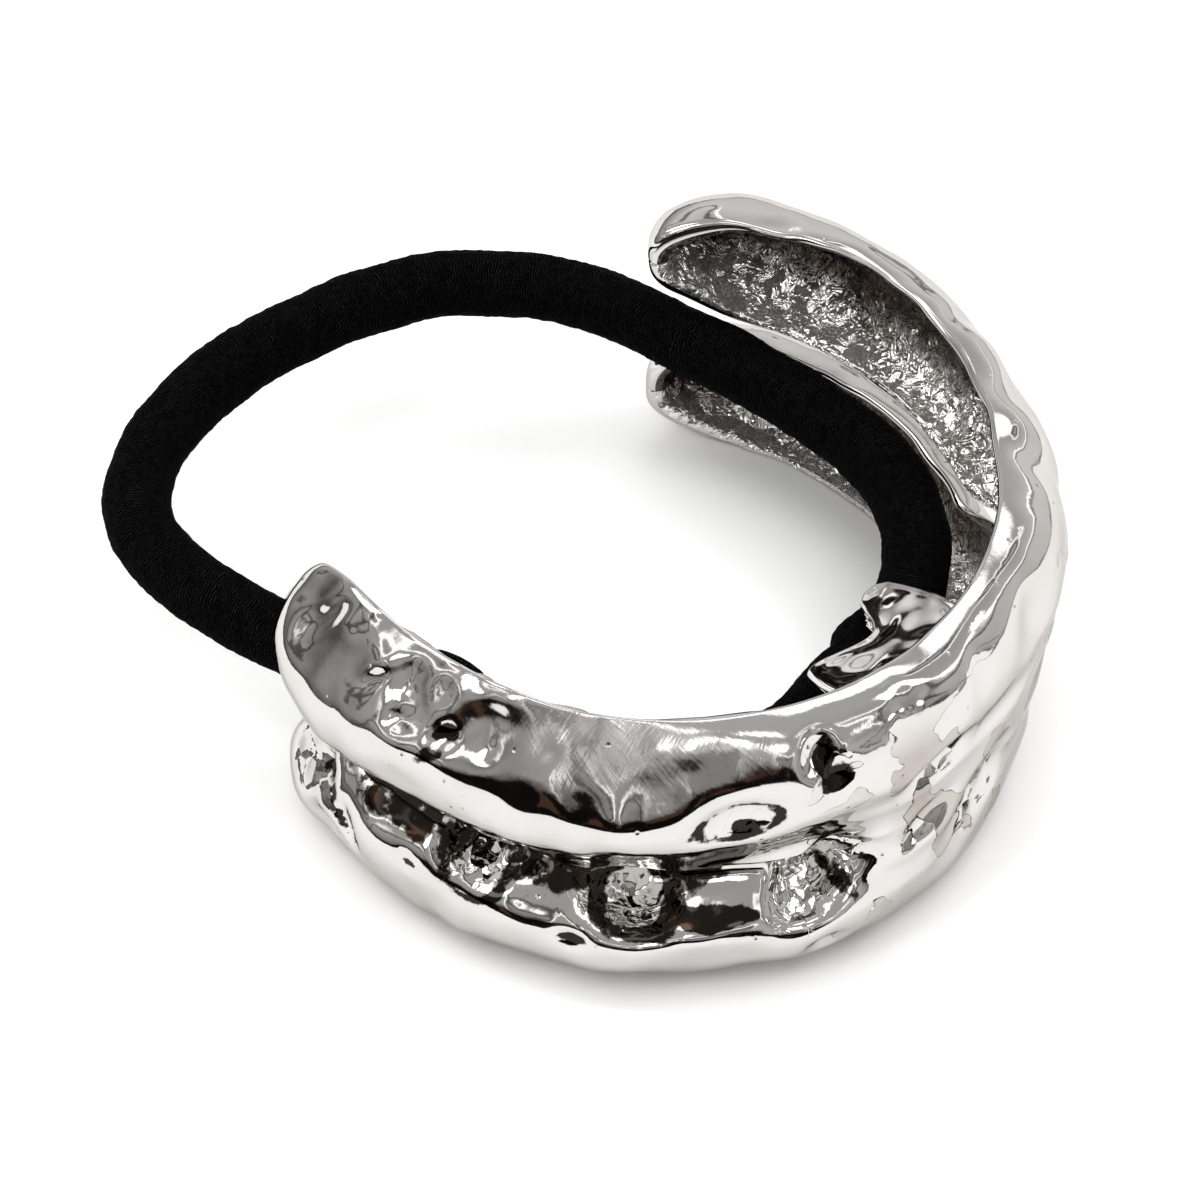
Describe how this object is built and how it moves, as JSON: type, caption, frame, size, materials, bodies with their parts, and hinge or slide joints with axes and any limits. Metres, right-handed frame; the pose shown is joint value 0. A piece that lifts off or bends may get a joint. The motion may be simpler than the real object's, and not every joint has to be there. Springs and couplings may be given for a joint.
{
  "type": "ponytail cuff",
  "caption": "Polished open cast metal cuff of two hollow dented bands, with a round black hair elastic gripped inside it, worn round the base of a ponytail.",
  "frame": {"origin": "on the cuff's upright axis, level with the surface its lower rim rests on", "axes": "+Z along the cuff's axis, upwards; -Y towards the cuff's closed middle and its clamp; +Y towards its open side and the free end of the elastic"},
  "size_m": [0.0553, 0.064, 0.0215],
  "materials": {
    "metal": "polished outside, rough casting inside the bands",
    "elastic": "wound thread"
  },
  "bodies": {
    "root": {"cuff": "metal", "elastic_band": "elastic"}
  },
  "joints": []
}
